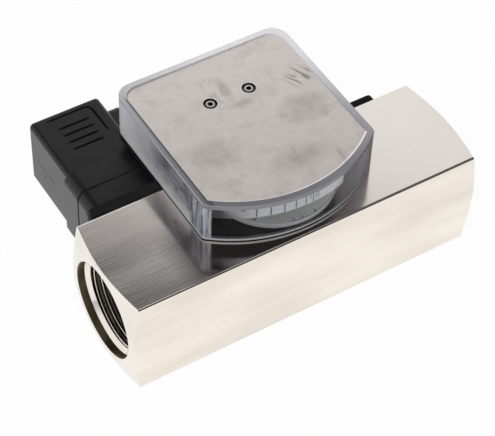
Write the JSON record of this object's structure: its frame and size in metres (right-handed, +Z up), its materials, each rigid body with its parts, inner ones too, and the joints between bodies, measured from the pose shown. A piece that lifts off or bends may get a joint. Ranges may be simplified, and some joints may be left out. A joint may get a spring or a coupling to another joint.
{
  "type": "variable area flow meter",
  "caption": "Square-bar piston flow meter with pipe-threaded ends, a clear indicator head with a metal top plate, and a black housing with a square plug connector.",
  "frame": {"origin": "centre of the bar's underside", "axes": "+X along the bar with the flow, from inlet to outlet; +Y to the back, towards the plug; +Z up, towards the indicator head"},
  "size_m": [0.132, 0.0957, 0.0565],
  "materials": {
    "nickel_plate": "satin nickel plating",
    "turned_brass": "turned",
    "spring_steel": "drawn",
    "bare_steel": "satin",
    "plate_steel": "fine brushed",
    "magnet": "sintered",
    "white_plastic": "moulded",
    "disc_plastic": "moulded",
    "pointer_paint": "matt black",
    "plunger_plastic": "moulded",
    "clear_plastic": "clear moulded",
    "scale_film": "printed film",
    "black_plastic": "fine grained",
    "grey_plastic": "moulded",
    "contact_tin": "tinned",
    "seal_rubber": "matt",
    "pale_silicone": "matt translucent"
  },
  "bodies": {
    "meter": {"flow_body": "nickel_plate", "orifice_ring": "turned_brass", "inlet_circlip": "spring_steel", "piston_spring": "spring_steel", "spring_spider": "turned_brass", "outlet_circlip": "spring_steel", "pivot_pin": "bare_steel", "disc_clip": "spring_steel", "microswitch": "black_plastic", "switch_screws": "bare_steel", "clear_cover": "clear_plastic", "cover_seal": "pale_silicone", "top_plate": "plate_steel", "cover_screws": "bare_steel", "cover_pillars": "turned_brass", "scale_strip": "scale_film", "switch_housing": "black_plastic", "flange_gasket": "seal_rubber", "housing_screws": "bare_steel", "rear_lid": "black_plastic", "lid_screws": "bare_steel", "connector_socket": "black_plastic", "contact_pins": "contact_tin", "connector_gasket": "seal_rubber", "plug_insert": "grey_plastic", "plug_hood": "black_plastic", "plug_screw": "bare_steel", "gland_seal": "seal_rubber", "gland_nut": "black_plastic"},
    "piston": {"metering_piston": "turned_brass", "piston_magnet": "magnet", "rear_guide": "white_plastic", "piston_clip": "spring_steel"},
    "indicator": {"indicator_disc": "disc_plastic", "follower_magnet": "magnet", "pointer_finger": "pointer_paint"},
    "plunger": {"switch_plunger": "plunger_plastic"}
  },
  "joints": [
    {"name": "piston_slide", "type": "slide", "parent": "meter", "child": "piston", "axis": [1, 0, 0], "range_m": [0, 0.01], "stiffness_N_per_m": 120, "springref_m": -0.008, "deforming": ["piston_spring"]},
    {"name": "disc_turn", "type": "hinge", "parent": "meter", "child": "indicator", "pos_m": [0, 0.006, 0.0418], "axis": [0, 0, 1], "range_deg": [0, 96]},
    {"name": "plunger_press", "type": "slide", "parent": "meter", "child": "plunger", "axis": [-1, 0, 0], "range_m": [0, 0.0009]}
  ],
  "couplings": [
    {"joint": "disc_turn", "follows": "piston_slide", "rad_per_m": 167.55},
    {"joint": "plunger_press", "follows": "piston_slide", "ratio": 0.09}
  ]
}
